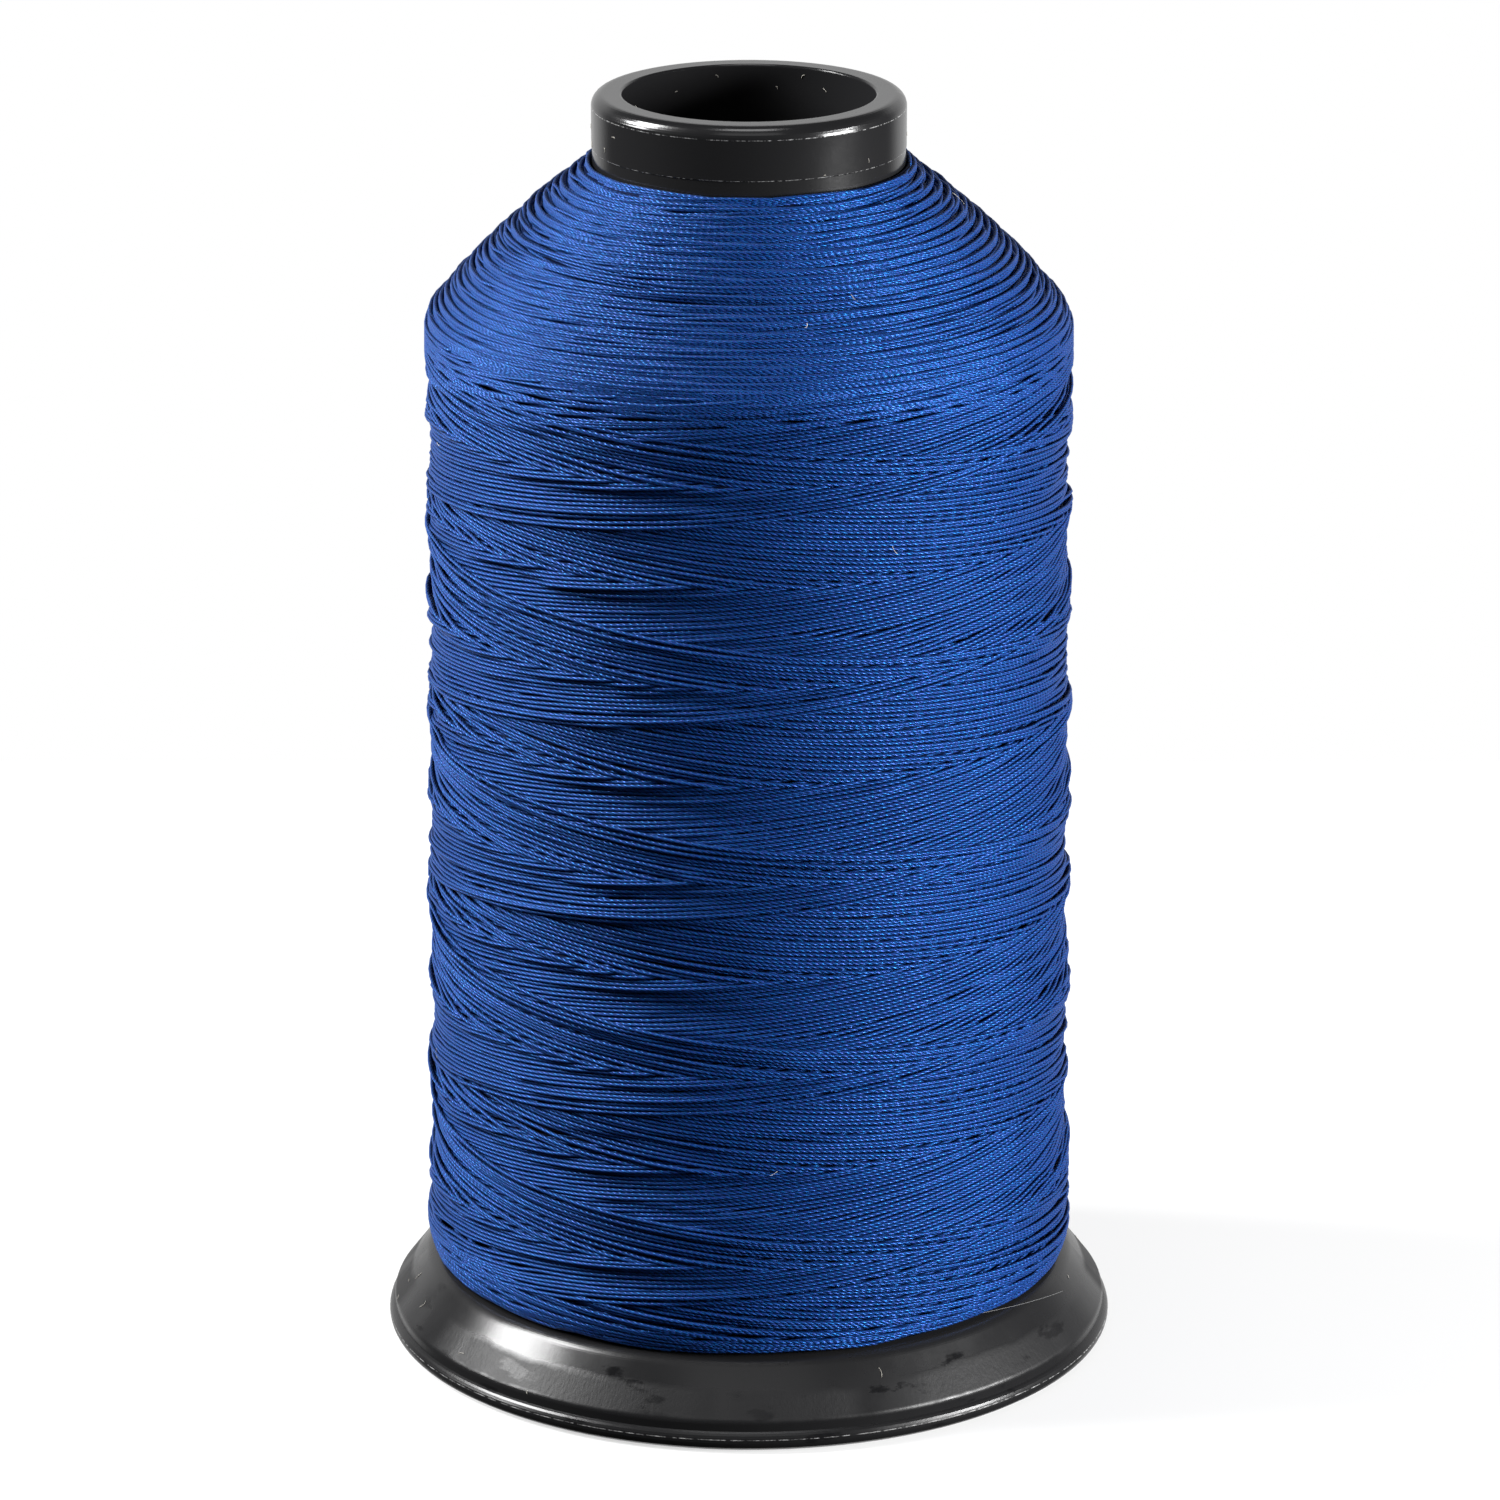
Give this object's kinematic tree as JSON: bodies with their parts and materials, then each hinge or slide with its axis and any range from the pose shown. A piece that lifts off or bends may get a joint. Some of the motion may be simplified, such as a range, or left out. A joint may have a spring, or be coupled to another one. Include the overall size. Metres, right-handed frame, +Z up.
{
  "type": "spool of sewing thread",
  "caption": "King spool of blue sewing thread: a black tapered tube with a nose collar, a flared base flange and a cross-wound package with a conical top.",
  "frame": {"origin": "on the spool's axis, in the plane that the base stands on", "axes": "+Z up along the spool's axis towards the nose; X and Y lie in the floor plane"},
  "size_m": [0.1016, 0.1016, 0.1764],
  "materials": {
    "black_plastic": "satin-gloss moulded plastic",
    "thread_blue": "bonded three-ply filament thread with a soft sheen"
  },
  "bodies": {
    "root": {"barrel": "black_plastic", "base_flange": "black_plastic", "thread_core": "thread_blue", "outer_winding": "thread_blue"}
  },
  "joints": []
}
